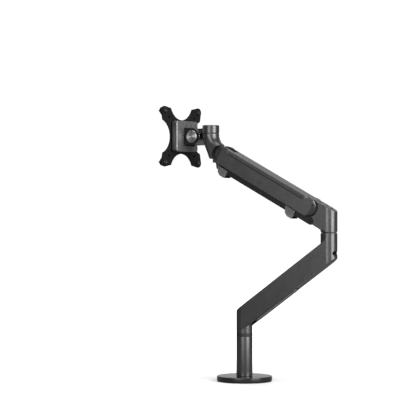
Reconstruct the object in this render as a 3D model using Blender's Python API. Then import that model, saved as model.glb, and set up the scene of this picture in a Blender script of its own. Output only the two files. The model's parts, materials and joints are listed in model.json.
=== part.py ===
"""Gas-spring monitor arm for a desk: base disc, post, two arms, tilting head and VESA plate.

Metres, +Z up.  The origin is the centre of the base's underside, on the post's axis.
The two arms lie in the XZ plane: the lower arm rises towards +X and the upper arm folds
back over it towards -X, to the head.
"""
import math

import bmesh
import bpy
from mathutils import Matrix, Vector

MM = 0.001
GAP = 0.3                 # clearance between pieces that touch, mm

# ---------------------------------------------------------------- driving sizes, mm
BASE_R = 53.0
PAD_T = 1.5
DISC_TOP = 10.4
POST_R = 15.5
POST_TOP = 86.2
RING_TOP = 92.2
SPINDLE_R = 8.0           # both upright spindles, and their bushings
BUSHING_R = 10.0

ELBOW_X = 175.0           # lower arm's reach, post axis to elbow axis
ELBOW_R = 16.0
BLADE_SLOPE = math.radians(36.3)
BLADE_LOW = 98.6          # height of the blade's underside on the post axis
BLADE_TALL = 46.4         # the blade's upright thickness
SEAM_Z = 286.0            # elbow joint face
SEAM_HALF = 1.2           # half the height of the elbow's seam
EXIT_S = 20.0             # start of the cable channel, along the blade's underside
COVER_S = 34.0            # start and end of the channel's cover
COVER_END = 136.0
COVER_HALF = 9.3          # half the cover's width
COVER_PROUD = 1.9         # the cover stands this far below the blade
CHANNEL_HALF = 8.0        # half width and depth of the channel behind it
CHANNEL_DEEP = 6.0
TUNNEL = (2.2, 5.8)       # the channel's closed part, from and to this depth
FRICTION_Z = 112.0        # height of the base's friction screw
ENTRY_Z = 247.5           # height of the cable entry
ENTRY_R = 4.2             # half the height of the cable entry
ENTRY_HALF = 6.8          # cable entry's centre to the centre of either round end

ARM_SLOPE = math.radians(29.0)
PIVOT_IN = 33.0           # elbow axis to the upper arm's pivot, along the arm
PIVOT_Z = 332.5
ARM_LEN = 211.9           # pivot to pivot
SHELL_R = 17.1            # half the height of the arm's shell
SHELL_W = 38.0
SHELL_WALL = 2.8
ELBOW_NOSE = 14.0         # the shell's rounded ends reach this far past the pivots
HEAD_NOSE = 18.4
NOSE_ROUND = 8.0          # depth of the ends' rounding, from the shell's side
NOSE_FLAT = 1.5           # the side's flat face ends this far past the pivots
SHOULDER = 8.0            # height of the sloping shoulder above the side's flat face
GROOVE_DEEP = 1.6         # groove between the flat face and the shoulder
GROOVE_TALL = 1.6
NOSE_INNER = 11.0         # half the width between the shell's thick ends
SOCKET_R = 17.7           # the brackets are hollowed out round the shell's ends
HEAD_SOCKET_R = 19.2
BODY_W = 31.6             # width of the brackets outside the shell
CAP_PLAN = ((-11.0, -9.0), (13.0, 9.0))   # pocket for the elbow's cap, on the bracket's top
TONGUE_HALF = 10.5        # half width of the brackets' ears inside the shell
TONGUE_R = 10.2
LINK_DROP = 25.0          # upright distance between the two links' pivots
LINK_W = 21.4
LINK_HALF = 7.0
LINK_TONGUE_HALF = 8.3    # half width of the brackets' tongues inside the link
LINK_TONGUE_R = 6.4
LIFT_PIN_R = 4.0
LIFT_PIN_HALF = 14.6
LINK_PIN_R = 2.6
LINK_PIN_HALF = 10.6
OPEN_GAP = 1.4            # clearance of the link's opened pivot at the head
CLIP_HALF = 13.2
CLIP_ELBOW_X = 35.0       # along the link from its elbow pivot to the clip's lower end
CLIP_HEAD_X = 196.5

SPRING_DROP = 14.0        # elbow pivot down to the spring's seat
SPRING_HEAD_X = 179.0     # elbow pivot to the spring's head end, along the arm
SPRING_HEAD_Z = -3.0
SPRING_R = 7.5
SPRING_PIN_R = 3.0
SPRING_MOUTH = 72.0       # the cylinder's open end, from the seat
SEAT_IN = 11.0            # the seat's centre, from the elbow pivot towards the elbow
ADJUSTER_R = 2.0

HEAD_IN = 29.0            # head pivot to the knuckle's axis
HEAD_SEAM_Z = 477.3
HEAD_TOP_Z = 493.2
KNUCKLE_R = 16.5
HEAD_SPINDLE_R = 6.0
HEAD_TURN = math.radians(-13.0)   # the head is turned this far from the arm's plane

TILT_Z = 472.0
TILT_N = 32.6             # tilt axis ahead of the VESA plate's face
KNUCKLE_N = 66.0          # knuckle axis ahead of the VESA plate's face
KNUCKLE_D = 9.5           # knuckle axis to the side of the plate's centre
BARREL_R = 16.0
BARREL_BORE = 5.3
TILT_AXLE_R = 4.0
HUB_BOLT_R = 3.0
YOKE_W = 63.4
YOKE_UP = 30.6            # from the tilt axis to the yoke's top and bottom edges
YOKE_DOWN = 28.9
YOKE_BACK = 1.6
YOKE_FACE = 14.3
NOTCH_D = -8.8            # the notch runs from here to the yoke's open side
NOTCH_HALF = 16.9
FORK_EAR = 3.0
BARREL_LOW = -5.0         # the barrel's ends, beside the plate's centre
BARREL_HIGH = 28.0
BARREL_MIDDLE = (BARREL_LOW + BARREL_HIGH) / 2.0

VESA_NEAR = 37.5          # half of the 75 mm hole pattern
VESA_FAR = 50.0           # half of the 100 mm hole pattern
PLATE_HALF = 59.0
PLATE_T = 3.0
PAD_PROUD = 5.5           # height of the plate's raised pads behind it
HUB_R = 20.0

PIVOT_X = ELBOW_X - PIVOT_IN
HEAD_PIVOT_X = PIVOT_X - ARM_LEN * math.cos(ARM_SLOPE)
HEAD_PIVOT_Z = PIVOT_Z + ARM_LEN * math.sin(ARM_SLOPE)
KNUCKLE_X = HEAD_PIVOT_X - HEAD_IN


# ---------------------------------------------------------------- scene and materials
def clear_scene():
    for thing in list(bpy.data.objects):
        bpy.data.objects.remove(thing, do_unlink=True)


def material(name, colour, roughness, metallic):
    mat = bpy.data.materials.new(name)
    mat.use_nodes = True
    shader = mat.node_tree.nodes["Principled BSDF"]
    shader.inputs["Base Color"].default_value = (*colour, 1.0)
    shader.inputs["Roughness"].default_value = roughness
    shader.inputs["Metallic"].default_value = metallic
    return mat


GRAPHITE = material("graphite_paint", (0.12, 0.12, 0.125), 0.42, 0.6)
BLACK_PAINT = material("black_paint", (0.02, 0.02, 0.021), 0.35, 0.2)
SILVER = material("satin_aluminium", (0.6, 0.6, 0.61), 0.32, 1.0)
STEEL = material("zinc_steel", (0.45, 0.45, 0.46), 0.35, 1.0)
NYLON = material("black_nylon", (0.015, 0.015, 0.015), 0.55, 0.0)
RUBBER = material("rubber", (0.02, 0.02, 0.02), 0.85, 0.0)
GREY_PLASTIC = material("grey_plastic", (0.2, 0.2, 0.205), 0.5, 0.0)


def empty(name, place, turn=(0.0, 0.0, 0.0), parent=None):
    """An empty on a joint's axis, placed in world millimetres and carried by its parent's axis."""
    axis = bpy.data.objects.new(name, None)
    axis.location = [value * MM for value in place]
    axis.rotation_euler = turn
    bpy.context.collection.objects.link(axis)
    bpy.context.view_layer.update()
    if parent:
        axis.parent = parent
        axis.matrix_parent_inverse = parent.matrix_world.inverted()
        bpy.context.view_layer.update()
    return axis


# ---------------------------------------------------------------- mesh helpers
def solid(name, bm, mat, parent=None, round_angle=35.0):
    """One object from a bmesh in millimetres."""
    bmesh.ops.scale(bm, vec=(MM, MM, MM), verts=bm.verts)
    bmesh.ops.recalc_face_normals(bm, faces=bm.faces)
    mesh = bpy.data.meshes.new(name)
    bm.to_mesh(mesh)
    bm.free()
    mesh.materials.append(mat)
    mesh.shade_smooth()
    mesh.set_sharp_from_angle(angle=math.radians(round_angle))
    thing = bpy.data.objects.new(name, mesh)
    bpy.context.collection.objects.link(thing)
    thing.parent = parent
    return thing


def turned(profile, steps=32, axis="Z", at=(0.0, 0.0, 0.0)):
    """A lathe solid: profile is (radius, height) points of a closed outline beside the axis."""
    bm = bmesh.new()
    rings = []
    for radius, height in profile:
        if radius == 0.0:
            rings.append([bm.verts.new((0.0, 0.0, height))])
            continue
        ring = []
        for step in range(steps):
            angle = 2.0 * math.pi * step / steps
            ring.append(bm.verts.new((radius * math.cos(angle), radius * math.sin(angle), height)))
        rings.append(ring)
    for index, low in enumerate(rings):
        high = rings[(index + 1) % len(rings)]
        if len(low) == 1 and len(high) == 1:
            continue
        for step in range(steps):
            after = (step + 1) % steps
            corners = [low[step % len(low)], low[after % len(low)],
                       high[after % len(high)], high[step % len(high)]]
            bm.faces.new(list(dict.fromkeys(corners)))
    turn = {"Z": Matrix(), "-Z": Matrix.Rotation(math.pi, 4, "X"),
            "Y": Matrix.Rotation(-math.pi / 2, 4, "X"), "-Y": Matrix.Rotation(math.pi / 2, 4, "X"),
            "X": Matrix.Rotation(math.pi / 2, 4, "Y"), "-X": Matrix.Rotation(-math.pi / 2, 4, "Y")}[axis]
    bmesh.ops.transform(bm, matrix=Matrix.Translation(at) @ turn, verts=bm.verts)
    return bm


def rod(radius, low, high, axis="Z", at=(0.0, 0.0, 0.0), steps=20, edge=0.0):
    """A plain round bar from low to high along an axis, with chamfered ends."""
    if edge:
        profile = [(0.0, low), (radius - edge, low), (radius, low + edge),
                   (radius, high - edge), (radius - edge, high), (0.0, high)]
    else:
        profile = [(0.0, low), (radius, low), (radius, high), (0.0, high)]
    return turned(profile, steps, axis, at)


def tube(inner, outer, low, high, axis="Z", at=(0.0, 0.0, 0.0), steps=20, edge=0.0):
    profile = [(inner, low), (outer - edge, low), (outer, low + edge),
               (outer, high - edge), (outer - edge, high), (inner, high)]
    if not edge:
        profile = [(inner, low), (outer, low), (outer, high), (inner, high)]
    return turned(profile, steps, axis, at)


def prism(outline, low, high, axis="Y"):
    """An outline of two coordinates, drawn out along the third from low to high."""
    place = {"X": lambda u, v, w: (w, u, v), "Y": lambda u, v, w: (u, w, v),
             "Z": lambda u, v, w: (u, v, w)}[axis]
    bm = bmesh.new()
    near = [bm.verts.new(place(u, v, low)) for u, v in outline]
    far = [bm.verts.new(place(u, v, high)) for u, v in outline]
    bm.faces.new(near)
    bm.faces.new(list(reversed(far)))
    for index in range(len(outline)):
        after = (index + 1) % len(outline)
        bm.faces.new([near[index], far[index], far[after], near[after]])
    return bm


def block(x, y, z):
    return prism([(x[0], z[0]), (x[1], z[0]), (x[1], z[1]), (x[0], z[1])], y[0], y[1])


def arc(centre, radius, start, end, steps):
    """Points on an arc, angles in degrees."""
    points = []
    for step in range(steps + 1):
        angle = math.radians(start + (end - start) * step / steps)
        points.append((centre[0] + radius * math.cos(angle), centre[1] + radius * math.sin(angle)))
    return points


def rounded(low, high, radii, steps=6):
    """A rectangle with rounded corners; radii start at the low-low corner, anticlockwise."""
    (u0, v0), (u1, v1) = low, high
    corners = [((u0, v0), 1, 1, 180), ((u1, v0), -1, 1, 270), ((u1, v1), -1, -1, 0), ((u0, v1), 1, -1, 90)]
    points = []
    for ((u, v), du, dv, start), radius in zip(corners, radii):
        if radius:
            points += arc((u + du * radius, v + dv * radius), radius, start, start + 90, steps)
        else:
            points.append((u, v))
    return points


def weld(mesh):
    """Drop the slivers that a cut leaves, shorter than 3 microns."""
    bm = bmesh.new()
    bm.from_mesh(mesh)
    bmesh.ops.remove_doubles(bm, verts=bm.verts, dist=0.003 * MM)
    bmesh.ops.dissolve_degenerate(bm, edges=bm.edges, dist=0.003 * MM)
    bm.to_mesh(mesh)
    bm.free()


def combine(thing, tools, operation):
    """Cut, join or intersect an object with bmesh tools, and keep only the result."""
    for tool_bm in tools:
        tool = solid("tool", tool_bm, thing.data.materials[0], thing.parent)
        step = thing.modifiers.new("step", "BOOLEAN")
        step.operation = operation
        step.solver = "EXACT"
        step.object = tool
        bpy.context.view_layer.update()
        graph = bpy.context.evaluated_depsgraph_get()
        result = bpy.data.meshes.new_from_object(thing.evaluated_get(graph))
        thing.modifiers.remove(step)
        weld(result)
        old = thing.data
        thing.data = result
        result.name = thing.name
        bpy.data.meshes.remove(old)
        bpy.data.objects.remove(tool, do_unlink=True)
    thing.data.shade_smooth()
    thing.data.set_sharp_from_angle(angle=math.radians(35.0))
    return thing


def cut(thing, *tools):
    return combine(thing, tools, "DIFFERENCE")


def join(thing, *tools):
    return combine(thing, tools, "UNION")


def soften(thing, width, segments=2, angle=40.0):
    bevel = thing.modifiers.new("edge", "BEVEL")
    bevel.width = width * MM
    bevel.segments = segments
    bevel.limit_method = "ANGLE"
    bevel.angle_limit = math.radians(angle)
    return thing


def screw(name, mat, parent, head_r, head_t, shank_r, length, axis, at, socket_r=0.0):
    """A socket-head screw whose head's underside is at the given place; it points down its axis."""
    profile = [(0.0, -length), (shank_r, -length), (shank_r, 0.0), (head_r, 0.0),
               (head_r, head_t - 0.3), (head_r - 0.3, head_t)]
    if socket_r:
        profile += [(socket_r, head_t), (socket_r, head_t * 0.4), (0.0, head_t * 0.4)]
    else:
        profile.append((0.0, head_t))
    return solid(name, turned(profile, 14, axis, at), mat, parent)


# ---------------------------------------------------------------- base and post
def blade_low(x):
    return BLADE_LOW + x * math.tan(BLADE_SLOPE)


def make_base():
    solid("base_pad", rod(BASE_R - 1.0, 0.0, PAD_T, steps=40), RUBBER)
    disc = solid("base_disc", turned(
        [(9.0, PAD_T + GAP), (BASE_R - 0.6, PAD_T + GAP), (BASE_R, PAD_T + 1.0), (BASE_R, DISC_TOP - 1.8),
         (BASE_R - 1.6, DISC_TOP), (5.3, DISC_TOP), (5.3, 6.4), (9.0, 6.4)], 20), BLACK_PAINT)
    screw("post_bolt", STEEL, None, 8.4, 4.0, 5.0, 36.0, "-Z", (0.0, 0.0, 6.1), 3.0)
    solid("post_plug", tube(5.3, 11.7, DISC_TOP + GAP, 44.0), STEEL)
    solid("post_tube", tube(12.0, POST_R, DISC_TOP + GAP, POST_TOP, steps=40, edge=0.4), GRAPHITE)
    solid("base_spindle", turned(
        [(0.0, 50.0), (11.7, 50.0), (11.7, POST_TOP - 0.4), (SPINDLE_R, POST_TOP - 0.4),
         (SPINDLE_R, 127.0), (SPINDLE_R - 1.0, 128.0), (0.0, 128.0)], 40), STEEL)
    solid("post_ring", tube(SPINDLE_R + GAP, POST_R, POST_TOP + GAP, RING_TOP, steps=40, edge=0.3), NYLON)
    return disc


# ---------------------------------------------------------------- lower arm
def make_lower_blade(base_axis):
    """The slanted blade: a long plan outline with round ends, kept between two slanted planes."""
    ends = arc((ELBOW_X, 0.0), ELBOW_R, -90, 90, 16) + arc((0.0, 0.0), POST_R, 90, 270, 16)
    arm = solid("lower_arm", prism(ends, 60.0, 320.0, "Z"), GRAPHITE, base_axis)
    far = ELBOW_X + 60.0
    foot = RING_TOP + GAP
    foot_x = (foot - BLADE_LOW) / math.tan(BLADE_SLOPE)
    band = prism([(-60.0, foot), (foot_x, foot), (far, blade_low(far)), (far, blade_low(far) + BLADE_TALL),
                  (-60.0, blade_low(-60.0) + BLADE_TALL)], -40.0, 40.0)
    return combine(arm, [band], "INTERSECT")


def under_blade(bm):
    """Move a piece made along +X onto the blade's sloping underside."""
    bmesh.ops.rotate(bm, cent=(0, 0, 0), matrix=Matrix.Rotation(-BLADE_SLOPE, 3, "Y"), verts=bm.verts)
    bmesh.ops.translate(bm, vec=(0.0, 0.0, BLADE_LOW), verts=bm.verts)
    return bm


def oval(half, radius):
    """The cable entry's outline, across the arm and upright."""
    return (arc((half, ENTRY_Z), radius, -90, 90, 8) + arc((-half, ENTRY_Z), radius, 90, 270, 8))


def make_lower_arm(base_axis):
    arm = make_lower_blade(base_axis)
    join(arm,
         rod(POST_R - 0.1, RING_TOP + GAP, blade_low(0.0) + 24.0, steps=40),
         rod(ELBOW_R - 0.1, blade_low(ELBOW_X) + 24.0, SEAM_Z - SEAM_HALF, at=(ELBOW_X, 0.0, 0.0), steps=40))
    run = ELBOW_X / math.cos(BLADE_SLOPE)
    channel = under_blade(block((EXIT_S, COVER_END + 2.0), (-CHANNEL_HALF, CHANNEL_HALF), (-1.0, CHANNEL_DEEP)))
    tunnel = under_blade(block((COVER_END - 4.0, run + 8.0), (1.0 - CHANNEL_HALF, CHANNEL_HALF - 1.0), TUNNEL))
    ledge = under_blade(block((COVER_S, COVER_END), (-COVER_HALF - GAP, COVER_HALF + GAP), (-1.2, 1.6)))
    cut(arm,
        channel, ledge, tunnel,
        rod(BUSHING_R + GAP, RING_TOP - 1.0, 129.0, steps=40),
        rod(SPINDLE_R + GAP, SEAM_Z - 30.0, SEAM_Z, at=(ELBOW_X, 0, 0), steps=40),
        block((ELBOW_X + 1.0, ELBOW_X + 6.0), (-6.0, 6.0), (234.0, 247.0)),
        prism(oval(ENTRY_HALF, ENTRY_R), ELBOW_X + 0.5, ELBOW_X + 30.0, "X"),
        rod(2.8, 6.0, 20.0, "Y", (0.0, 0.0, FRICTION_Z), 16))
    solid("base_bushing", tube(SPINDLE_R + 0.05, BUSHING_R, RING_TOP + GAP, 126.0, steps=40), NYLON, base_axis)
    screw("base_friction_screw", STEEL, base_axis, 2.5, 2.0, 2.5, 2.6, "Y", (0.0, 13.0, FRICTION_Z), 1.4)
    return arm


def make_cable_cover(base_axis):
    """The long cover clipped into the blade's underside, and the lip of the cable entry."""
    outline = rounded((COVER_S + GAP, -COVER_HALF), (COVER_END - GAP, COVER_HALF), (3.0, 3.0, 3.0, 3.0), 5)
    solid("cable_cover", under_blade(prism(outline, -COVER_PROUD, 1.3, "Z")), GREY_PLASTIC, base_axis)
    grommet = solid("cable_grommet", prism(oval(ENTRY_HALF, ENTRY_R - GAP), ELBOW_X + 5.0, ELBOW_X + 10.0, "X"),
                    NYLON, base_axis)
    cut(grommet, prism(oval(ENTRY_HALF, ENTRY_R - 1.3), ELBOW_X + 4.0, ELBOW_X + 11.0, "X"))


def make_elbow_shaft(base_axis):
    solid("elbow_spindle", turned(
        [(0.0, SEAM_Z - 29.6), (SPINDLE_R, SEAM_Z - 29.6), (SPINDLE_R, 316.0), (5.0, 316.0),
         (5.0, 322.0), (0.0, 322.0)], 40, at=(ELBOW_X, 0, 0)), STEEL, base_axis)
    washer = tube(SPINDLE_R + GAP, ELBOW_R - 1.2, SEAM_Z + GAP - SEAM_HALF, SEAM_Z - GAP + SEAM_HALF,
                  at=(ELBOW_X, 0, 0), steps=40)
    solid("elbow_washer", washer, NYLON, base_axis)
    nut = rod(8.2, 316.4, 320.6, at=(ELBOW_X, 0, 0), steps=6)
    cut(solid("elbow_nut", nut, STEEL, base_axis), rod(5.2, 316.0, 321.0, at=(ELBOW_X, 0, 0), steps=40))


# ---------------------------------------------------------------- elbow bracket
def arm_top(x, proud=0.0):
    """Height of the line that continues the shell's top edge, at a world x."""
    return PIVOT_Z + (SHELL_R + proud) / math.cos(ARM_SLOPE) - (x - PIVOT_X) * math.tan(ARM_SLOPE)


def on_slope(bm):
    """Move a piece made flat about the origin onto the bracket's sloping top."""
    bmesh.ops.rotate(bm, cent=(0, 0, 0), matrix=Matrix.Rotation(ARM_SLOPE, 3, "Y"), verts=bm.verts)
    bmesh.ops.translate(bm, vec=(0.0, 0.0, arm_top(ELBOW_X)), verts=bm.verts)
    return bm


def tongues(x, z, side, root):
    """Ears round an arm pivot and its link pivot; side is +1 when the bracket's body is at their +X side."""
    ears = [(root, 3.6)] + arc((0.0, 0.0), TONGUE_R, 60, 300, 16) + [(root, -15.0)]
    foot = [(0.0, -6.0)] + arc((0.0, -LINK_DROP), LINK_TONGUE_R, 120, 290, 10)
    foot += [(12.5, -LINK_DROP - 1.5), (15.5, -8.0)]
    plates = []
    for outline, half in ((ears, TONGUE_HALF), (foot, LINK_TONGUE_HALF)):
        plates.append(prism([(x + side * u, z + v) for u, v in outline], -half, half))
    return plates


def make_elbow_bracket(elbow_axis):
    x0 = -PIVOT_IN
    link_z = PIVOT_Z - LINK_DROP
    outline = [(0.0, 290.6), (-10.5, 291.1)]
    outline += arc((x0, link_z), 8.3, -50, 46, 8)
    outline += arc((x0, PIVOT_Z), SOCKET_R, -66, 46, 16)
    outline += [(0.0, arm_top(ELBOW_X) - 0.2)]
    body = prism(outline, -BODY_W / 2.0, BODY_W / 2.0)
    bracket = solid("elbow_bracket", body, GRAPHITE, elbow_axis)
    post = rod(ELBOW_R, SEAM_Z + SEAM_HALF, arm_top(ELBOW_X), steps=36)
    for vert in post.verts:
        if vert.co.z > SEAM_Z + 5.0:
            vert.co.z -= vert.co.x * math.tan(ARM_SLOPE)
    join(bracket, post, *tongues(x0, PIVOT_Z, 1.0, SOCKET_R + 0.4))
    cut(bracket,
        on_slope(prism(rounded(*CAP_PLAN, (4.0,) * 4), -1.9, 4.0, "Z")),
        block((x0 - 20.0, -15.4), (-4.7, 4.7), (310.5, 360.0)),
        rod(BUSHING_R + GAP, SEAM_Z, 314.5, steps=40),
        rod(9.2, 314.0, 324.0, steps=40),
        rod(LIFT_PIN_R + GAP, -20.0, 20.0, "Y", (x0, 0.0, PIVOT_Z), 20),
        rod(LINK_PIN_R + GAP, -20.0, 20.0, "Y", (x0, 0.0, link_z), 16))
    solid("elbow_bushing", tube(SPINDLE_R + 0.05, BUSHING_R, SEAM_Z + SEAM_HALF + GAP, 313.8, steps=40), NYLON, elbow_axis)
    lift_pin = rod(LIFT_PIN_R, -LIFT_PIN_HALF, LIFT_PIN_HALF, "Y", (x0, 0.0, PIVOT_Z), 16, 0.4)
    link_pin = rod(LINK_PIN_R, -LINK_PIN_HALF, LINK_PIN_HALF, "Y", (x0, 0.0, link_z), 12, 0.3)
    solid("lift_pin", lift_pin, STEEL, elbow_axis)
    solid("link_pin", link_pin, STEEL, elbow_axis)
    return bracket


def make_lift_adjuster(elbow_axis):
    """The spring's seat, on a screw that sets how much weight the arm lifts."""
    seat_x = SEAT_IN - PIVOT_IN
    seat_z = PIVOT_Z - SPRING_DROP
    seat = solid("spring_seat", block((seat_x - 3.5, seat_x + 3.5), (-4.4, 4.4), (seat_z - 6.0, seat_z + 6.0)),
                 STEEL, elbow_axis)
    cut(seat, rod(ADJUSTER_R + GAP, seat_z - 7.0, seat_z + 7.0, at=(seat_x, 0, 0), steps=20))
    screw("lift_adjuster", STEEL, elbow_axis, 3.4, 4.0, ADJUSTER_R, 20.0, "Z", (seat_x, 0.0, seat_z + 13.0), 1.8)


def make_elbow_cap(elbow_axis):
    """A cover let into the bracket's sloping top."""
    (low_u, low_v), (high_u, high_v) = CAP_PLAN
    plan = rounded((low_u + GAP, low_v + GAP), (high_u - GAP, high_v - GAP), (4.0 - GAP,) * 4)
    cap = solid("elbow_cap", on_slope(prism(plan, -1.6, 0.3, "Z")), GRAPHITE, elbow_axis)
    for low in (-6.0, 5.0):
        cut(cap, on_slope(prism(rounded((low, -5.0), (low + 2.4, 5.0), (1.1,) * 4, 3), -0.6, 2.0, "Z")))
    return cap


# ---------------------------------------------------------------- upper arm
# The upper arm's own frame: origin on the elbow pivot, +X along the arm to the head, +Z off its top.
def strut_line():
    """The spring's seat end, head end, and the angle of the line between them."""
    seat = Vector((-SPRING_DROP * math.sin(ARM_SLOPE), -SPRING_DROP * math.cos(ARM_SLOPE)))
    head = Vector((SPRING_HEAD_X, SPRING_HEAD_Z))
    run = head - seat
    return seat, head, math.atan2(run.y, run.x), run.length


def stadium(radius, first, last, steps=16):
    """A long outline with round ends, centred on the line between the pivots."""
    return arc((last, 0.0), radius, -90, 90, steps) + arc((first, 0.0), radius, 90, 270, steps)


def nose_reach(inset, full):
    """How far an end reaches past its pivot, at a depth from the shell's side."""
    return NOSE_FLAT + (full - NOSE_FLAT) * min(inset / NOSE_ROUND, 1.0) ** 0.75


def shoulder_drop(inset):
    """How far the shell's top has fallen at a depth from its side."""
    spread = 5.0
    return SHOULDER * max(1.0 - inset / spread, 0.0) ** 1.5


def nosed_outline(inset):
    """The shell's side outline at a depth from its side: rounded ends, and a shoulder along the top."""
    points = []
    for u, v in arc((0.0, 0.0), 1.0, -90, 90, 16):
        points.append((ARM_LEN + u * nose_reach(inset, HEAD_NOSE), v * SHELL_R))
    blends = [(0.0, 0.0), (3.0, 0.16), (6.0, 0.5), (9.0, 0.84), (12.0, 1.0)]
    drop = shoulder_drop(inset)
    points += [(ARM_LEN - 4.0 - along, SHELL_R - drop * share) for along, share in blends]
    points += [(8.0 + along, SHELL_R - drop * share) for along, share in reversed(blends)]
    for u, v in arc((0.0, 0.0), 1.0, 90, 270, 16):
        points.append((u * nose_reach(inset, ELBOW_NOSE), v * SHELL_R))
    return points


def loft(sections):
    """A solid through a stack of sections, each a ring of corners with the same number of points."""
    bm = bmesh.new()
    rings = [[bm.verts.new(corner) for corner in section] for section in sections]
    for low, high in zip(rings, rings[1:]):
        for index in range(len(low)):
            after = (index + 1) % len(low)
            bm.faces.new([low[index], low[after], high[after], high[index]])
    bm.faces.new(list(reversed(rings[0])))
    bm.faces.new(rings[-1])
    return bm


def make_shell(lift_axis):
    half = SHELL_W / 2.0
    inner = half - SHELL_WALL
    ceiling = SHELL_R - 4.0
    insets = [0.0, 0.3, 1.0, 2.0, 3.4, 5.0, NOSE_ROUND]
    levels = [(-half + inset, inset) for inset in insets] + [(half - inset, inset) for inset in reversed(insets)]
    body = loft([[(u, y, v) for u, v in nosed_outline(inset)] for y, inset in levels])
    shell = solid("upper_shell", body, GRAPHITE, lift_axis)
    cut(shell,
        block((15.0, ARM_LEN - 15.0), (-inner, inner), (-30.0, ceiling)),
        block((-30.0, 16.0), (-NOSE_INNER, NOSE_INNER), (-30.0, ceiling - 0.1)),
        block((ARM_LEN - 16.0, ARM_LEN + 30.0), (-NOSE_INNER, NOSE_INNER), (-30.0, ceiling - 0.1)),
        block((-30.0, -5.0), (-NOSE_INNER, NOSE_INNER), (0.0, 30.0)),
        block((ARM_LEN - 21.0, ARM_LEN + 30.0), (-NOSE_INNER, NOSE_INNER), (0.0, 30.0)))
    join(shell,
         block((SPRING_HEAD_X - 5.0, SPRING_HEAD_X + 5.0), (8.6, inner + 0.5), (SPRING_HEAD_Z - 5.0, ceiling + 0.5)),
         block((SPRING_HEAD_X - 5.0, SPRING_HEAD_X + 5.0), (-inner - 0.5, -8.6),
               (SPRING_HEAD_Z - 5.0, ceiling + 0.5)))
    groove = SHELL_R - SHOULDER
    for side in (-1.0, 1.0):
        wall = sorted((side * (half - GROOVE_DEEP), side * (half + 1.0)))
        cut(shell, block((20.0, ARM_LEN - 16.0), wall, (groove + 0.2 - GROOVE_TALL, groove + 0.2)))
    cut(shell,
        rod(LIFT_PIN_R + GAP, -LIFT_PIN_HALF - GAP, LIFT_PIN_HALF + GAP, "Y", (0.0, 0.0, 0.0), 20),
        rod(LIFT_PIN_R + GAP, -LIFT_PIN_HALF - GAP, LIFT_PIN_HALF + GAP, "Y", (ARM_LEN, 0.0, 0.0), 20),
        rod(SPRING_PIN_R + GAP, -13.0, 13.0, "Y", (SPRING_HEAD_X, 0.0, SPRING_HEAD_Z), 16))
    head_pin = rod(LIFT_PIN_R, -LIFT_PIN_HALF, LIFT_PIN_HALF, "Y", (ARM_LEN, 0.0, 0.0), 16, 0.4)
    spring_pin = rod(SPRING_PIN_R, -12.6, 12.6, "Y", (SPRING_HEAD_X, 0.0, SPRING_HEAD_Z), 12, 0.3)
    solid("head_pin", head_pin, STEEL, lift_axis)
    solid("spring_pin", spring_pin, STEEL, lift_axis)
    return shell


def along_strut(bm, seat, angle):
    """Turn a piece made along +X from the seat onto the spring's line."""
    bmesh.ops.rotate(bm, cent=(0, 0, 0), matrix=Matrix.Rotation(-angle, 3, "Y"), verts=bm.verts)
    bmesh.ops.translate(bm, vec=(seat.x, 0.0, seat.y), verts=bm.verts)
    return bm


def make_spring(lift_axis):
    seat, _, angle, length = strut_line()
    body_end = length - 9.0
    cylinder = solid("spring_cylinder", along_strut(turned(
        [(4.2, SPRING_MOUTH), (SPRING_R - 0.8, SPRING_MOUTH), (SPRING_R, SPRING_MOUTH + 0.8),
         (SPRING_R, body_end - 1.0),
         (SPRING_R - 1.0, body_end), (0.0, body_end), (0.0, body_end - 4.0), (4.2, body_end - 4.0)],
        32, "X"), seat, angle), BLACK_PAINT, lift_axis)
    join(cylinder, along_strut(block((body_end - 2.0, length), (-4.0, 4.0), (-5.5, 5.5)), seat, angle),
         along_strut(rod(5.5, -4.0, 4.0, "Y", (length, 0.0, 0.0), 20), seat, angle))
    cut(cylinder, along_strut(rod(SPRING_PIN_R + GAP, -9.0, 9.0, "Y", (length, 0.0, 0.0), 16), seat, angle))
    nose = [(4.0 * math.sin(math.radians(turn)), -4.0 * math.cos(math.radians(turn))) for turn in range(0, 76, 15)]
    rod_profile = nose + [(3.9, 0.0), (3.9, 100.0), (0.0, 100.0)]
    solid("spring_rod", along_strut(turned(rod_profile, 32, "X"), seat, angle), STEEL, lift_axis)


# ---------------------------------------------------------------- lower link and its cable clips
# The link's frame is the upper arm's, moved down to the link's own elbow pivot.
def make_link(link_axis):
    half = LINK_W / 2.0
    wall = 2.0
    inside = (wall - half, half - wall)
    link = solid("lower_link", prism(stadium(LINK_HALF, 0.0, ARM_LEN), -half, half), BLACK_PAINT, link_axis)
    cut(link,
        block((-20.0, ARM_LEN + 20.0), inside, (wall - LINK_HALF, 20.0)),
        block((-20.0, 9.0), inside, (-20.0, 20.0)),
        block((ARM_LEN - 9.0, ARM_LEN + 20.0), inside, (-20.0, 20.0)),
        rod(LINK_PIN_R + GAP, -half - 1.0, half + 1.0, "Y", (0.0, 0.0, 0.0), 16),
        rod(LINK_PIN_R + OPEN_GAP, -half - 1.0, half + 1.0, "Y", (ARM_LEN, 0.0, 0.0), 16))
    make_clip("cable_clip_elbow", link_axis, CLIP_ELBOW_X, 2.0)
    make_clip("cable_clip_head", link_axis, CLIP_HEAD_X, 0.5)


def make_clip(name, link_axis, x, top):
    """A trough that grips the link's sides and holds the cables under it."""
    outline = [(x, top), (x, -13.8), (x + 1.2, -15.0), (x + 11.5, -15.1), (x + 18.5, -10.8), (x + 24.0, top)]
    clip = solid(name, prism(outline, -CLIP_HALF, CLIP_HALF), GREY_PLASTIC, link_axis)
    return cut(clip, block((x - 20.0, x + 40.0), (-LINK_W / 2.0 - GAP, LINK_W / 2.0 + GAP), (-13.4, 30.0)))


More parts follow.
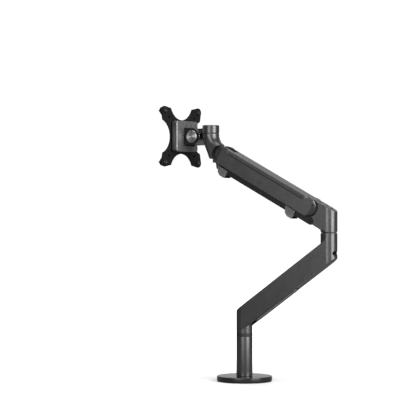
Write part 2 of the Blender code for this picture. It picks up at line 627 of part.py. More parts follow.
# ---------------------------------------------------------------- head bracket and knuckle
def head_sections(collar_top):
    """The bracket's upright body, round at the top."""
    axis = -HEAD_IN
    ring = (axis - KNUCKLE_R, axis + KNUCKLE_R, KNUCKLE_R, KNUCKLE_R)
    # height, -X side, +X side, half width, corner radius
    rows = [(-7.5, -25.5, -8.0, 15.0, 5.0), (-5.5, -27.0, -4.0, 15.8, 5.0), (6.0, -32.0, 0.0, 15.8, 7.0),
            (16.0, -37.0, 0.0, 15.8, 9.0), (19.0, -38.6, -3.0, 15.8, 10.0), (24.0, -41.0, -9.0, 16.0, 12.0),
            (30.0, -43.6, -11.4, 16.3, 14.5), (36.0, *ring), (collar_top - 0.5, *ring),
            (collar_top, ring[0] + 0.5, ring[1] - 0.5, KNUCKLE_R - 0.5, KNUCKLE_R - 0.5)]
    sections = []
    for height, low, high, wide, corner in rows:
        plan = rounded((low, -wide), (high, wide), (min(corner, wide - 0.01),) * 4, 7)
        sections.append([(u, v, height) for u, v in plan])
    return sections


def make_head_bracket(bracket_axis):
    """The upright body under the knuckle, hollowed round the shell's end, with ears for both pivots."""
    collar_top = HEAD_SEAM_Z - 0.5 - HEAD_PIVOT_Z
    bracket = solid("head_bracket", loft(head_sections(collar_top)), GRAPHITE, bracket_axis)
    cut(bracket, rod(HEAD_SOCKET_R, -20.0, 20.0, "Y", (0.0, 0.0, 0.0), 56))
    join(bracket, *tongues(0.0, 0.0, -1.0, HEAD_SOCKET_R + 0.6))
    cut(bracket,
        rod(LIFT_PIN_R + GAP, -20.0, 20.0, "Y", (0.0, 0.0, 0.0), 20),
        rod(LINK_PIN_R + GAP, -20.0, 20.0, "Y", (0.0, 0.0, -LINK_DROP), 16),
        rod(HEAD_SPINDLE_R + GAP, collar_top - 22.0, collar_top + 2.0, at=(-HEAD_IN, 0.0, 0.0), steps=20))
    pin = rod(LINK_PIN_R, -LINK_PIN_HALF, LINK_PIN_HALF, "Y", (0.0, 0.0, -LINK_DROP), 12, 0.3)
    solid("link_head_pin", pin, STEEL, bracket_axis)
    return bracket


def make_knuckle(head_axis):
    """The turning knuckle and the web that carries the tilt barrel; +X away from the plate."""
    tilt_x = TILT_N - KNUCKLE_N
    barrel_y = BARREL_MIDDLE - KNUCKLE_D
    knuckle = solid("knuckle", turned(
        [(0.0, HEAD_SEAM_Z + GAP), (KNUCKLE_R - 0.4, HEAD_SEAM_Z + GAP), (KNUCKLE_R, HEAD_SEAM_Z + 0.7),
         (KNUCKLE_R, HEAD_TOP_Z - 1.2), (KNUCKLE_R - 1.2, HEAD_TOP_Z), (0.0, HEAD_TOP_Z)], 40), GRAPHITE, head_axis)
    web_low = HEAD_SEAM_Z + GAP
    join(knuckle, block((tilt_x + 4.0, -6.0), (barrel_y - 13.0, barrel_y + 9.0), (web_low, TILT_Z + 15.2)))
    cut(knuckle,
        rod(BARREL_R + GAP, barrel_y - 20.0, barrel_y + 24.0, "Y", (tilt_x, 0.0, TILT_Z), 40),
        rod(HEAD_SPINDLE_R + GAP, HEAD_SEAM_Z - 2.0, HEAD_TOP_Z - 4.0, steps=20))
    solid("knuckle_spindle", rod(HEAD_SPINDLE_R, HEAD_SEAM_Z - 21.0, HEAD_TOP_Z - 4.6, steps=20), STEEL, head_axis)
    solid("tilt_barrel", tube(BARREL_BORE, BARREL_R, BARREL_LOW - KNUCKLE_D, BARREL_HIGH - KNUCKLE_D, "Y",
                              (tilt_x, 0.0, TILT_Z), 40, 0.5), SILVER, head_axis)
    return knuckle


# ---------------------------------------------------------------- tilting head
# The tilt frame: origin on the tilt axis beside the plate's centre, +X away from the plate.
def make_tilt_fork(tilt_axis):
    face = -TILT_N
    side = [(face + 9.0, -BARREL_R)] + arc((0.0, 0.0), BARREL_R, -90, 90, 16) + [(face + 9.0, BARREL_R)]
    ears = [prism(side, NOTCH_D + 0.5, BARREL_LOW - GAP),
            prism(side, BARREL_HIGH + GAP, BARREL_HIGH + GAP + FORK_EAR)]
    foot = block((face + YOKE_BACK + GAP, face + YOKE_FACE - 0.6),
                 (NOTCH_D + 0.6, BARREL_HIGH + GAP + FORK_EAR - 0.1), (-BARREL_R - 0.5, BARREL_R + 0.5))
    fork = solid("tilt_fork", foot, BLACK_PAINT, tilt_axis)
    join(fork, *ears)
    cut(fork, rod(TILT_AXLE_R + GAP, -30.0, 60.0, "Y", (0, 0, 0), 20),
        rod(HUB_BOLT_R + GAP, face, face + 12.0, "X", (0, 0, 0), 16))
    bushing = tube(TILT_AXLE_R + 0.05, BARREL_BORE - 0.1, BARREL_LOW + 0.2, BARREL_HIGH - 0.2, "Y", (0, 0, 0), 20)
    solid("tilt_bushing", bushing, NYLON, tilt_axis)
    axle_end = BARREL_HIGH + GAP + FORK_EAR
    solid("tilt_axle", rod(TILT_AXLE_R, NOTCH_D + 0.4, axle_end + 5.0, "Y", (0, 0, 0), 16, 0.3), STEEL, tilt_axis)
    nut = solid("tilt_nut", rod(6.6, axle_end + GAP, axle_end + 4.4, "Y", (0, 0, 0), 6), STEEL, tilt_axis)
    cut(nut, rod(TILT_AXLE_R + GAP, axle_end - 1.0, axle_end + 6.0, "Y", (0, 0, 0), 20))
    cap_face = NOTCH_D + 0.2
    solid("tilt_cap", turned([(0.0, -1.6), (11.4, -1.6), (12.4, -0.9), (12.4, 0.0), (0.0, 0.0)], 40, "Y",
                             (0.0, cap_face, 0.0)), SILVER, tilt_axis)
    return fork


def make_yoke(tilt_axis):
    face = -TILT_N
    low_d = -YOKE_W / 2.0 + 0.3
    high_d = YOKE_W / 2.0 + 0.3
    near, far = 4.0, 5.0
    outline = arc((low_d + near, YOKE_UP - near), near, 90, 180, 5)
    outline += arc((low_d + near, near - YOKE_DOWN), near, 180, 270, 5)
    outline += arc((high_d - far, far - YOKE_DOWN), far, 270, 360, 5)
    outline += [(high_d, -NOTCH_HALF), (NOTCH_D, -NOTCH_HALF), (NOTCH_D, NOTCH_HALF), (high_d, NOTCH_HALF)]
    outline += arc((high_d - far, YOKE_UP - far), far, 0, 90, 5)
    yoke = solid("yoke", prism(outline, face + YOKE_BACK, face + YOKE_FACE, "X"), SILVER, tilt_axis)
    return soften(yoke, 1.4, 2)


def make_hub(tilt_axis):
    """The disc that the plate turns on, fixed to the fork and the yoke from behind."""
    face = -TILT_N
    hub = solid("rotation_hub", rod(HUB_R, face - PLATE_T - 0.6, face + YOKE_BACK - GAP, "X", (0, 0, 0), 20),
                STEEL, tilt_axis)
    cut(hub, rod(HUB_BOLT_R + GAP, face - 10.0, face + 10.0, "X", (0, 0, 0), 16))
    keeper = solid("hub_keeper", rod(26.0, face - PLATE_T - 2.6, face - PLATE_T - 0.9, "X", (0, 0, 0), 20),
                   STEEL, tilt_axis)
    cut(keeper, rod(HUB_BOLT_R + GAP, face - 10.0, face + 10.0, "X", (0, 0, 0), 16))
    screw("hub_bolt", STEEL, tilt_axis, 6.0, 2.2, HUB_BOLT_R, 14.0, "-X", (face - PLATE_T - 2.9, 0.0, 0.0), 2.0)
    solid("hub_washer", tube(HUB_R + 0.6, 27.0, face + GAP, face + YOKE_BACK - GAP, "X", (0, 0, 0), 20),
          NYLON, tilt_axis)


# ---------------------------------------------------------------- VESA plate
# The plate's frame: origin at the centre of its front face, +X towards the arm.
def plate_outline():
    """A cross with four arms to the corners, scooped out between them."""
    points = []
    reach = PLATE_HALF
    tip = 9.0
    scoop = 34.0
    depth = reach + 8.0
    for quarter in range(4):
        turn = Matrix.Rotation(math.pi / 2 * quarter, 2)
        corner = arc((reach - tip, reach - tip), tip, 0, 90, 5)
        dip = arc((0.0, depth), scoop, -20, -160, 12)
        points += [tuple(turn @ Vector(point)) for point in corner + dip]
    return points


def make_plate(rotate_axis):
    plate = solid("vesa_plate", prism(plate_outline(), -PLATE_T, 0.0, "X"), BLACK_PAINT, rotate_axis)
    pads = []
    for quarter in range(4):
        turn = Matrix.Rotation(math.pi / 4 + math.pi / 2 * quarter, 2)
        pad = [tuple(turn @ Vector(point)) for point in rounded((44.0, -7.0), (78.0, 7.0), (6.9,) * 4, 5)]
        pads.append(prism(pad, -PLATE_T - PAD_PROUD, -PLATE_T + 1.0, "X"))
    join(plate, *pads)
    holes = [rod(HUB_R + GAP, -20.0, 20.0, "X", (0, 0, 0), 20)]
    for across in (-1.0, 1.0):
        for up in (-1.0, 1.0):
            for reach in (VESA_NEAR, VESA_FAR):
                holes.append(rod(2.5, -20.0, 20.0, "X", (0.0, across * reach, up * reach), 16))
    cut(plate, *holes)
    count = 0
    for across in (-1.0, 1.0):
        for up in (-1.0, 1.0):
            count += 1
            screw(f"vesa_screw_{count}", STEEL, rotate_axis, 4.4, 2.6, 2.0, 16.0, "X",
                  (GAP, across * VESA_FAR, up * VESA_FAR), 1.6)
    return plate


# ---------------------------------------------------------------- build
def build():
    clear_scene()
    make_base()
    base_axis = empty("base_axis", (0.0, 0.0, 0.0))
    make_lower_arm(base_axis)
    make_cable_cover(base_axis)
    make_elbow_shaft(base_axis)
    elbow_axis = empty("elbow_axis", (ELBOW_X, 0.0, 0.0), parent=base_axis)
    make_elbow_bracket(elbow_axis)
    make_lift_adjuster(elbow_axis)
    make_elbow_cap(elbow_axis)
    along = (0.0, -ARM_SLOPE, math.pi)
    lift_axis = empty("lift_axis", (PIVOT_X, 0.0, PIVOT_Z), along, elbow_axis)
    make_shell(lift_axis)
    make_spring(lift_axis)
    link_axis = empty("link_axis", (PIVOT_X, 0.0, PIVOT_Z - LINK_DROP), along, elbow_axis)
    make_link(link_axis)
    bracket_axis = empty("head_pivot_axis", (HEAD_PIVOT_X, 0.0, HEAD_PIVOT_Z), parent=lift_axis)
    make_head_bracket(bracket_axis)
    turn = (0.0, 0.0, HEAD_TURN)
    head_axis = empty("head_axis", (KNUCKLE_X, 0.0, 0.0), turn, bracket_axis)
    make_knuckle(head_axis)
    away = Vector((math.cos(HEAD_TURN), math.sin(HEAD_TURN)))
    across = Vector((-away.y, away.x))
    centre = Vector((KNUCKLE_X, 0.0)) - away * KNUCKLE_N - across * KNUCKLE_D
    tilt_at = centre + away * TILT_N
    tilt_axis = empty("tilt_axis", (tilt_at.x, tilt_at.y, TILT_Z), turn, head_axis)
    make_tilt_fork(tilt_axis)
    make_yoke(tilt_axis)
    make_hub(tilt_axis)
    rotate_axis = empty("rotate_axis", (centre.x, centre.y, TILT_Z), turn, tilt_axis)
    make_plate(rotate_axis)


build()
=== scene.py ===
"""Looks of the monitor arm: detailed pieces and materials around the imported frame."""
import json
import math

import bmesh
import bpy
from mathutils import Matrix, Vector


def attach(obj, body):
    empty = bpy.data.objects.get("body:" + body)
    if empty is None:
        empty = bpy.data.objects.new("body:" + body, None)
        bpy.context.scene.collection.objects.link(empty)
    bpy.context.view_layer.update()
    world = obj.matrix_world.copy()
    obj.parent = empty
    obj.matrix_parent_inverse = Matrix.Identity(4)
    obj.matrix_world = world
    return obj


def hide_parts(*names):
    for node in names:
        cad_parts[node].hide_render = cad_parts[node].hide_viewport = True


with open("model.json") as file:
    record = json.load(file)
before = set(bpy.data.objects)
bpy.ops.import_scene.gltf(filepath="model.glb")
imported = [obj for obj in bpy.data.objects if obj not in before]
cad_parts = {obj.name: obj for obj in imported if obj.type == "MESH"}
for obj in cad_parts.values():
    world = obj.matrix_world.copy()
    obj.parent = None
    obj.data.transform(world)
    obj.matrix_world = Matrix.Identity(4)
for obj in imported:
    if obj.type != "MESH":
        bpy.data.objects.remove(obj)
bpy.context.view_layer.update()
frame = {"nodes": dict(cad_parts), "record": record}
NODES = frame["nodes"]
BODY_OF = {node: body for body, nodes in frame["record"]["behaviour"]["bodies"].items() for node in nodes}


# ---------------------------------------------------------------- materials
def rgba(tone):
    """A colour with full alpha, from a colour or from one grey level."""
    return (*tone, 1.0) if isinstance(tone, tuple) else (tone, tone, tone, 1.0)


class Shader:
    """A material under construction: short calls for the nodes the finishes share."""

    def __init__(self, name, colour, rough, metallic=0.0, specular=0.5):
        self.mat = bpy.data.materials.new(name)
        self.mat.use_nodes = True
        self.tree = self.mat.node_tree
        self.nodes = self.tree.nodes
        self.main = self.nodes["Principled BSDF"]
        self.main.inputs["Base Color"].default_value = rgba(colour)
        self.main.inputs["Roughness"].default_value = rough
        self.main.inputs["Metallic"].default_value = metallic
        self.main.inputs["Specular IOR Level"].default_value = specular
        self.coords = self.nodes.new("ShaderNodeTexCoord")
        self.height = None

    def link(self, out, into):
        self.tree.links.new(out, into)

    def noise(self, scale, detail=4.0, rough=0.55, stretch=(1.0, 1.0, 1.0)):
        place = self.nodes.new("ShaderNodeMapping")
        place.inputs["Scale"].default_value = stretch
        self.link(self.coords.outputs["Object"], place.inputs["Vector"])
        node = self.nodes.new("ShaderNodeTexNoise")
        node.inputs["Scale"].default_value = scale
        node.inputs["Detail"].default_value = detail
        node.inputs["Roughness"].default_value = rough
        self.link(place.outputs["Vector"], node.inputs["Vector"])
        return node.outputs["Fac"]

    def cells(self, scale):
        node = self.nodes.new("ShaderNodeTexVoronoi")
        node.inputs["Scale"].default_value = scale
        self.link(self.coords.outputs["Object"], node.inputs["Vector"])
        return node.outputs["Distance"]

    def ramp(self, value, low, high, at=(0.35, 0.65)):
        node = self.nodes.new("ShaderNodeValToRGB")
        for stop, position, tone in zip(node.color_ramp.elements, at, (low, high)):
            stop.position = position
            stop.color = rgba(tone)
        self.link(value, node.inputs["Fac"])
        return node.outputs["Color"]

    def colour(self, value, low, high, at=(0.35, 0.65)):
        self.link(self.ramp(value, low, high, at), self.main.inputs["Base Color"])

    def roughness(self, value, low, high, at=(0.3, 0.7)):
        self.link(self.ramp(value, low, high, at), self.main.inputs["Roughness"])

    def bump(self, value, strength, distance):
        node = self.nodes.new("ShaderNodeBump")
        node.inputs["Strength"].default_value = strength
        node.inputs["Distance"].default_value = distance
        self.link(value, node.inputs["Height"])
        if self.height:
            self.link(self.height, node.inputs["Normal"])
        self.height = node.outputs["Normal"]
        self.link(self.height, self.main.inputs["Normal"])


# Noise scales are in waves a metre.
FLECK_SCALE = 3000.0      # the fleck in the paint
GRAIN_SCALE = 1500.0      # its fine grain
PEEL_SCALE = 330.0        # its orange peel
SHEEN_SCALE = 60.0        # slow change in its gloss
BRUSH_SCALE = 900.0
MOULD_SCALE = 1100.0
RUBBER_SCALE = 700.0
RING_SCALE = 2600.0       # a lathe's rings


def powder_coat(name, low, high, rough, metallic, specular=0.5):
    """Fine-grained paint: a faint fleck, a slow change in gloss, and an orange-peel surface."""
    s = Shader(name, high, rough[0], metallic, specular)
    s.colour(s.noise(FLECK_SCALE, 2.0, 0.6), low, high, (0.38, 0.62))
    s.roughness(s.noise(SHEEN_SCALE, 3.0), *rough)
    s.bump(s.noise(GRAIN_SCALE, 3.0), 0.10, 0.00006)
    s.bump(s.noise(PEEL_SCALE, 2.0), 0.05, 0.0002)
    return s.mat


def brushed(name, low, high, rough, stretch=(1.0, 1.0, 1.0)):
    """Bare metal whose grain is drawn out along the axis that stretch makes small."""
    s = Shader(name, high, rough[0], 1.0)
    grain = s.noise(BRUSH_SCALE, 5.0, 0.6, stretch)
    s.colour(grain, low, high)
    s.roughness(grain, *rough)
    s.bump(grain, 0.08, 0.00005)
    return s.mat


def moulded(name, low, high, rough, grain=MOULD_SCALE, bump=0.25):
    """Plastic or rubber with the small pits of its mould."""
    s = Shader(name, high, rough[0])
    pits = s.cells(grain)
    s.colour(s.noise(120.0, 3.0), low, high)
    s.roughness(s.noise(300.0, 2.0), *rough)
    s.bump(pits, bump, 0.00006)
    return s.mat


def turned_metal(name, low, high, rough):
    """A face turned on a lathe: fine rings about the piece's Z axis, with a fanned highlight."""
    s = Shader(name, high, rough[0], 1.0)
    apart = s.nodes.new("ShaderNodeSeparateXYZ")
    s.link(s.coords.outputs["Object"], apart.inputs["Vector"])
    flat = s.nodes.new("ShaderNodeCombineXYZ")
    s.link(apart.outputs["X"], flat.inputs["X"])
    s.link(apart.outputs["Y"], flat.inputs["Y"])
    radius = s.nodes.new("ShaderNodeVectorMath")
    radius.operation = "LENGTH"
    s.link(flat.outputs["Vector"], radius.inputs[0])
    rings = s.nodes.new("ShaderNodeTexNoise")
    rings.noise_dimensions = "1D"
    rings.inputs["Scale"].default_value = RING_SCALE
    s.link(radius.outputs["Value"], rings.inputs["W"])
    s.colour(rings.outputs["Fac"], low, high)
    s.roughness(rings.outputs["Fac"], *rough)
    s.bump(rings.outputs["Fac"], 0.12, 0.00004)
    s.main.inputs["Anisotropic"].default_value = 0.9
    s.main.inputs["Anisotropic Rotation"].default_value = 0.25
    tangent = s.nodes.new("ShaderNodeTangent")
    tangent.direction_type = "RADIAL"
    tangent.axis = "Z"
    s.link(tangent.outputs["Tangent"], s.main.inputs["Tangent"])
    return s.mat


GRAPHITE = powder_coat("graphite_paint", (0.058, 0.058, 0.060), (0.090, 0.090, 0.092), (0.27, 0.33), 0.75)
BLACK = powder_coat("black_paint", (0.004, 0.004, 0.0043), (0.008, 0.008, 0.0083), (0.34, 0.44), 0.0, 0.25)
DISC = powder_coat("disc_paint", (0.008, 0.008, 0.0084), (0.014, 0.014, 0.0144), (0.16, 0.24), 0.0)
SILVER = brushed("satin_aluminium", (0.22, 0.22, 0.225), (0.32, 0.32, 0.325), (0.38, 0.48), (1.0, 1.0, 0.06))
BARREL = brushed("barrel_aluminium", (0.24, 0.24, 0.245), (0.36, 0.36, 0.365), (0.24, 0.34), (1.0, 0.05, 1.0))
CAP = turned_metal("turned_aluminium", (0.34, 0.34, 0.345), (0.52, 0.52, 0.525), (0.40, 0.48))
DARK_STEEL = brushed("black_zinc_steel", (0.05, 0.05, 0.052), (0.09, 0.09, 0.092), (0.34, 0.46))
STEEL = brushed("zinc_steel", (0.34, 0.34, 0.345), (0.46, 0.46, 0.465), (0.30, 0.42))
NYLON = moulded("black_nylon", (0.008, 0.008, 0.008), (0.014, 0.014, 0.014), (0.5, 0.65))
RUBBER = moulded("black_rubber", (0.012, 0.012, 0.012), (0.022, 0.022, 0.022), (0.75, 0.9), RUBBER_SCALE, 0.5)
GREY = moulded("grey_plastic", (0.085, 0.085, 0.087), (0.115, 0.115, 0.117), (0.36, 0.46))

SLOTS = {"graphite": GRAPHITE, "black_paint": BLACK, "silver": SILVER, "steel": STEEL,
         "nylon": NYLON, "rubber": RUBBER, "grey_plastic": GREY}
SLOT_OF = {part["node"]: part["material_slot"] for part in frame["record"]["subparts"]}
JOINTS = {joint["name"]: joint for joint in frame["record"]["behaviour"]["joints"]}
LIFT_AT = Vector(JOINTS["arm_lift"]["pos_m"])
HEAD_AT = Vector(JOINTS["head_level"]["pos_m"])
TILT_AT = Vector(JOINTS["head_tilt"]["pos_m"])
TILT_AXIS = Vector(JOINTS["head_tilt"]["axis"])
PLATE_AT = Vector(JOINTS["plate_rotate"]["pos_m"])
PLATE_AXIS = Vector(JOINTS["plate_rotate"]["axis"])
UP = Vector((0.0, 0.0, 1.0))


def carry(thing, node):
    """Puts a new piece in the scene in a CAD node's place, on that node's body."""
    bpy.context.view_layer.update()
    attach(thing, BODY_OF[node])
    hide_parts(node)


# ---------------------------------------------------------------- refined CAD pieces
# Edge radius in metres for each refined piece; the rest are shown as they are.
EDGES = {"lower_arm": 0.0007, "elbow_bracket": 0.0006, "upper_shell": 0.0003, "lower_link": 0.0005,
         "cable_clip_elbow": 0.0006, "cable_clip_head": 0.0006, "head_bracket": 0.0006, "knuckle": 0.0007,
         "tilt_fork": 0.0006, "yoke": 0.0004, "vesa_plate": 0.0005, "cable_cover": 0.0004,
         "spring_seat": 0.0004, "elbow_nut": 0.0003, "tilt_nut": 0.0003}
MERGE = 0.000012                          # corners nearer than this are one
FLAT_WITHIN = math.radians(0.8)           # faces this nearly in line become one
EDGE_FROM = math.radians(33.0)            # folds sharper than this are edges
SHELL_HALF = 0.019                        # half the shell's width
GROOVE_LOW, GROOVE_HIGH = 0.0075, 0.0094  # its side grooves, above the line through its pivots
GROOVE_SHALLOW, GROOVE_DEEP = 0.0002, 0.0018


def paint_groove_shade(mesh):
    """Paints the shell's two side grooves, just under its shoulders, black inside as painted shade, standing in
    for the shadow that falls in them.
    """
    along = (HEAD_AT - LIFT_AT).normalized()
    across = Vector((0.0, 1.0, 0.0))
    up = across.cross(along)
    up = up if up.z > 0.0 else -up
    mesh.materials.append(BLACK)
    for face in mesh.polygons:
        offset = face.center - LIFT_AT
        deep = SHELL_HALF - abs(offset.dot(across))
        if GROOVE_LOW < offset.dot(up) < GROOVE_HIGH and GROOVE_SHALLOW < deep < GROOVE_DEEP:
            face.material_index = 1


def refine(node, width):
    """Rebuilds a node with clean flat faces, smooth rounds and softened edges, in the node's place."""
    bm = bmesh.new()
    bm.from_mesh(NODES[node].data)
    bmesh.ops.remove_doubles(bm, verts=bm.verts, dist=MERGE)
    bmesh.ops.dissolve_limit(bm, angle_limit=FLAT_WITHIN, verts=bm.verts, edges=bm.edges)
    bmesh.ops.recalc_face_normals(bm, faces=bm.faces)
    mesh = bpy.data.meshes.new(node + "_fine")
    bm.to_mesh(mesh)
    bm.free()
    mesh.materials.append(SLOTS[SLOT_OF[node]])
    mesh.shade_smooth()
    # The shell's side grooves get black faces as painted shade.
    if node == "upper_shell":
        paint_groove_shade(mesh)
    thing = bpy.data.objects.new(node + "_fine", mesh)
    bpy.context.collection.objects.link(thing)
    bevel = thing.modifiers.new("edge", "BEVEL")
    bevel.width = width
    bevel.segments = 3
    bevel.limit_method = "ANGLE"
    bevel.angle_limit = EDGE_FROM
    bevel.miter_outer = "MITER_ARC"
    smooth = thing.modifiers.new("normals", "WEIGHTED_NORMAL")
    smooth.keep_sharp = True
    carry(thing, node)


for node, thing in NODES.items():
    thing.data.materials.clear()
    thing.data.materials.append(SLOTS[SLOT_OF[node]])
    if node in EDGES:
        refine(node, EDGES[node])
for node in ("link_pin", "link_head_pin", "elbow_washer"):
    NODES[node].data.materials[0] = BLACK


# ---------------------------------------------------------------- detailed pieces
MM = 0.001


def axis_frame(origin, z_axis, x_axis):
    """A matrix with its Z along one direction and its X as near as possible to another."""
    z = Vector(z_axis).normalized()
    y = z.cross(Vector(x_axis)).normalized()
    x = y.cross(z)
    turn = Matrix((x, y, z)).transposed().to_4x4()
    return Matrix.Translation(origin) @ turn


UPRIGHT = Matrix()
SHARP_FROM = math.radians(32.0)


def finish_mesh(name, bm, mat, place, node):
    """A detailed piece drawn in millimetres, set in place and carried by its CAD node's body."""
    bmesh.ops.recalc_face_normals(bm, faces=bm.faces)
    bmesh.ops.scale(bm, vec=(MM, MM, MM), verts=bm.verts)
    mesh = bpy.data.meshes.new(name)
    bm.to_mesh(mesh)
    bm.free()
    mesh.materials.append(mat)
    mesh.shade_smooth()
    mesh.set_sharp_from_angle(angle=SHARP_FROM)
    thing = bpy.data.objects.new(name, mesh)
    bpy.context.collection.objects.link(thing)
    thing.matrix_world = place
    carry(thing, node)


def fillet(corners, steps=5):
    """A closed profile of (radius, height) points, from corners given as (radius, height, rounding)."""
    points = []
    count = len(corners)
    for index, (r, z, size) in enumerate(corners):
        here = Vector((r, z))
        if not size:
            points.append((r, z))
            continue
        to_last = (Vector(corners[index - 1][:2]) - here).normalized()
        to_next = (Vector(corners[(index + 1) % count][:2]) - here).normalized()
        first, last = here + to_last * size, here + to_next * size
        for step in range(steps + 1):
            t = step / steps
            point = first * (1 - t) ** 2 + here * 2 * t * (1 - t) + last * t ** 2
            points.append((point.x, point.y))
    return points


def lathe(profile, steps):
    """A solid turned about Z from a closed profile of (radius, height) points."""
    bm = bmesh.new()
    rings = []
    for radius, height in profile:
        if radius < 1e-6:
            rings.append([bm.verts.new((0.0, 0.0, height))])
            continue
        rings.append([bm.verts.new((radius * math.cos(2 * math.pi * step / steps),
                                    radius * math.sin(2 * math.pi * step / steps), height))
                      for step in range(steps)])
    for index, low in enumerate(rings):
        high = rings[(index + 1) % len(rings)]
        if len(low) == 1 and len(high) == 1:
            continue
        for step in range(steps):
            after = (step + 1) % steps
            corners = [low[step % len(low)], low[after % len(low)],
                       high[after % len(high)], high[step % len(high)]]
            bm.faces.new(list(dict.fromkeys(corners)))
    return bm


# Sizes of the base's pieces, in millimetres.
PAD_R, PAD_TOP = 52.0, 1.5
DISC_R, DISC_LOW, DISC_TOP = 53.0, 1.8, 10.4
BOLT_R, SINK_R, SINK_TOP = 5.3, 9.0, 6.4      # the bolt's hole and the hollow for its head
POST_R, POST_BORE, POST_LOW, POST_TOP = 15.5, 12.0, 10.7, 86.2
RING_BORE, RING_LOW, RING_TOP = 8.3, 86.5, 92.2
LINE_R, LINE_LOW, LINE_MID, LINE_HIGH = 15.1, 89.1, 89.35, 89.6   # the fine line round the ring


def make_base_pieces():
    pad = [(0, 0, 0), (PAD_R, 0, 0.5), (PAD_R, PAD_TOP, 0.3), (0, PAD_TOP, 0)]
    disc = [(BOLT_R, DISC_TOP, 0), (BOLT_R, SINK_TOP, 0), (SINK_R, SINK_TOP, 0), (SINK_R, DISC_LOW, 0),
            (DISC_R, DISC_LOW, 0.8), (DISC_R, DISC_TOP, 1.7)]
    post = [(POST_BORE, POST_LOW, 0), (POST_R, POST_LOW, 0.4),
            (POST_R, POST_TOP, 0.5), (POST_BORE, POST_TOP, 0)]
    ring = [(RING_BORE, RING_LOW, 0), (POST_R, RING_LOW, 0.5), (POST_R, LINE_LOW, 0.3), (LINE_R, LINE_MID, 0.2),
            (POST_R, LINE_HIGH, 0.3), (POST_R, RING_TOP, 0.5), (RING_BORE, RING_TOP, 0)]
    finish_mesh("base_pad_round", lathe(fillet(pad), 160), RUBBER, UPRIGHT, "base_pad")
    finish_mesh("base_disc_round", lathe(fillet(disc, 7), 200), DISC, UPRIGHT, "base_disc")
    finish_mesh("post_tube_round", lathe(fillet(post), 128), GRAPHITE, UPRIGHT, "post_tube")
    finish_mesh("post_ring_round", lathe(fillet(ring), 128), NYLON, UPRIGHT, "post_ring")


THREAD_PITCH, THREAD_DEPTH = 0.8, 0.3
VESA_HALF = 0.050         # half the outer screw pattern
SCREW_LIFT = 0.0003       # the screw heads' clearance over the plate


def socket_head(head_r, head_t, shank_r, length, socket_r):
    """A screw along -Z whose head's underside is at 0, with a hexagonal socket and a threaded shank."""
    profile = [(0.0, -length), (shank_r - 0.35, -length)]
    turns = int(length / THREAD_PITCH)
    for turn in range(turns):
        z = -length + 0.3 + turn * (length - 0.6) / turns
        profile += [(shank_r - THREAD_DEPTH, z), (shank_r, z + 0.3)]
    profile += [(shank_r - THREAD_DEPTH, -0.2), (shank_r, 0.0)]
    profile += fillet([(head_r, 0.0, 0.25), (head_r, head_t, 0.6), (socket_r + 0.5, head_t, 0.3)], 4)
    across = socket_r * 0.86                  # from the socket's middle to its flats
    profile += [(socket_r + 0.3, head_t - 0.3), (across, head_t - 0.5),
                (across, head_t * 0.35), (0.0, head_t * 0.25)]
    bm = lathe(profile, 48)
    for vert in bm.verts:
        flat = math.hypot(vert.co.x, vert.co.y)
        if abs(flat - across) < 0.01 and vert.co.z > 0.0:
            angle = math.atan2(vert.co.y, vert.co.x)
            hexed = across / math.cos((angle + math.pi / 6) % (math.pi / 3) - math.pi / 6)
            vert.co.x *= hexed / flat
            vert.co.y *= hexed / flat
    return bm


def make_plate_screws():
    """The four screws of the outer pattern, numbered from one lower corner."""
    places = [(side, height) for side in (-1.0, 1.0) for height in (-1.0, 1.0)]
    for number, (side, height) in enumerate(places, 1):
        at = PLATE_AT + TILT_AXIS * side * VESA_HALF + UP * height * VESA_HALF + PLATE_AXIS * SCREW_LIFT
        screw = socket_head(head_r=4.4, head_t=2.6, shank_r=2.0, length=15.9, socket_r=1.6)
        finish_mesh(f"vesa_screw_{number}_cut", screw, DARK_STEEL, axis_frame(at, PLATE_AXIS, UP),
                    f"vesa_screw_{number}")


def make_tilt_pieces():
    """The turned cap and barrel on the tilt axis; Z runs along the axis."""
    on_axis = axis_frame(TILT_AT, TILT_AXIS, UP)
    face, rim, back = -10.2, -9.3, -8.6
    cap_r, cap_face_r = 12.4, 11.3
    cap = [(0.0, face, 0), (cap_face_r, face, 0.6), (cap_r, rim, 0.4), (cap_r, back, 0), (0.0, back, 0)]
    near, far = -5.0, 28.0
    bore, barrel_r = 5.3, 16.0
    barrel = [(bore, near, 0), (barrel_r, near, 0.6), (barrel_r, far, 0.6), (bore, far, 0)]
    finish_mesh("tilt_cap_turned", lathe(fillet(cap), 128), CAP, on_axis, "tilt_cap")
    finish_mesh("tilt_barrel_turned", lathe(fillet(barrel), 128), BARREL, on_axis, "tilt_barrel")


make_base_pieces()
make_plate_screws()
make_tilt_pieces()


# ---------------------------------------------------------------- stage, lights and camera
WHITE = (1.0, 1.0, 1.0, 1.0)
BACKDROP = 1.05            # how bright the backdrop and the far floor look to the camera
ROOM = 0.19                # how bright the room is to everything else
FLOOR_TONE = 0.22          # the floor's tone to everything but the camera
GLOW_FROM, GLOW_TO = 0.10, 0.60   # metres from the post: a painted shadow, dark to the first, white from the second
# the glow's least strength, at the heart of the painted shadow round the base
GLOW_LEAST = 0.02
CAMERA_TURN = math.radians(27.0)
CAMERA_AT = (1.320, -2.779, 0.319)
AIM = (0.0, 0.0, 0.28)     # what the lights point at


def area(name, at, wide, tall, power):
    data = bpy.data.lights.new(name, "AREA")
    data.shape = "RECTANGLE"
    data.size = wide
    data.size_y = tall
    data.energy = power
    light = bpy.data.objects.new(name, data)
    light.location = at
    light.rotation_euler = (Vector(AIM) - Vector(at)).to_track_quat("-Z", "Y").to_euler()
    bpy.context.collection.objects.link(light)
    return light


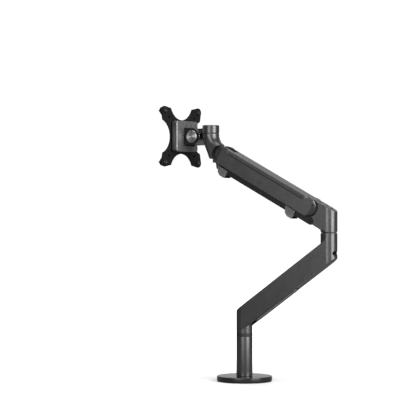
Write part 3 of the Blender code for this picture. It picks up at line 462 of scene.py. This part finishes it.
def make_floor():
    """A pale sheet that glows, though it is no lamp, and only the camera sees it as bright; by distance, it
    darkens round the base in a painted shadow.
    """
    bm = bmesh.new()
    bmesh.ops.create_circle(bm, cap_ends=True, segments=96, radius=30.0)
    mesh = bpy.data.meshes.new("floor")
    bm.to_mesh(mesh)
    bm.free()
    floor = bpy.data.objects.new("floor", mesh)
    bpy.context.collection.objects.link(floor)
    s = Shader("floor_paper", (0.9, 0.9, 0.9), 0.9, 0.0, 0.1)
    paper = s.ramp(s.noise(3.0, 2.0), 0.88, 0.92)
    s.main.inputs["Emission Color"].default_value = WHITE
    away = s.nodes.new("ShaderNodeVectorMath")
    away.operation = "LENGTH"
    s.link(s.coords.outputs["Object"], away.inputs[0])
    # painted shadow: the camera-only glow falls off towards the post
    glow = s.nodes.new("ShaderNodeMapRange")
    limits = {"From Min": GLOW_FROM, "From Max": GLOW_TO, "To Min": GLOW_LEAST, "To Max": BACKDROP}
    for socket, value in limits.items():
        glow.inputs[socket].default_value = value
    s.link(away.outputs["Value"], glow.inputs["Value"])
    path = s.nodes.new("ShaderNodeLightPath")
    tone = s.nodes.new("ShaderNodeMix")
    tone.data_type = "RGBA"
    tone.inputs["A"].default_value = rgba(FLOOR_TONE)
    s.link(path.outputs["Is Camera Ray"], tone.inputs["Factor"])
    s.link(paper, tone.inputs["B"])
    s.link(tone.outputs["Result"], s.main.inputs["Base Color"])
    seen = s.nodes.new("ShaderNodeMath")
    seen.operation = "MULTIPLY"
    s.link(glow.outputs["Result"], seen.inputs[0])
    s.link(path.outputs["Is Camera Ray"], seen.inputs[1])
    s.link(seen.outputs["Value"], s.main.inputs["Emission Strength"])
    floor.data.materials.append(s.mat)


def make_world():
    """White to the camera, and a dim even room to everything else."""
    world = bpy.data.worlds.new("studio")
    world.use_nodes = True
    nodes, links = world.node_tree.nodes, world.node_tree.links
    seen = nodes["Background"]
    seen.inputs["Color"].default_value = WHITE
    seen.inputs["Strength"].default_value = BACKDROP
    room = nodes.new("ShaderNodeBackground")
    room.inputs["Color"].default_value = WHITE
    room.inputs["Strength"].default_value = ROOM
    path = nodes.new("ShaderNodeLightPath")
    mix = nodes.new("ShaderNodeMixShader")
    links.new(path.outputs["Is Camera Ray"], mix.inputs["Fac"])
    links.new(room.outputs["Background"], mix.inputs[1])
    links.new(seen.outputs["Background"], mix.inputs[2])
    links.new(mix.outputs["Shader"], nodes["World Output"].inputs["Surface"])
    bpy.context.scene.world = world


def make_camera():
    """A long lens, level, a little above the middle of the arm's height."""
    data = bpy.data.cameras.new("camera")
    data.sensor_width = 36.0
    data.lens = 144.0
    data.shift_y = 0.0375
    camera = bpy.data.objects.new("camera", data)
    camera.location = CAMERA_AT
    camera.rotation_euler = (math.pi / 2.0, 0.0, CAMERA_TURN)
    bpy.context.collection.objects.link(camera)
    bpy.context.scene.camera = camera


def make_lights():
    """Soft boxes: position, width, height and watts."""
    area("key_right", (2.50, -0.70, 0.9), 1.8, 1.8, 92.0)
    area("fill_left", (-0.04, -2.7, 0.9), 1.3, 1.8, 37.0)
    area("front_card", (1.48, -3.10, 0.45), 1.0, 1.3, 9.0)
    back = area("back_card", (-1.1, 4.0, 1.25), 5.0, 2.4, 17.0)
    back.visible_camera = False
    area("overhead", (0.0, 0.1, 2.6), 2.4, 2.4, 50.0)


bpy.context.scene.view_settings.view_transform = "Standard"
make_floor()
make_world()
make_camera()
make_lights()
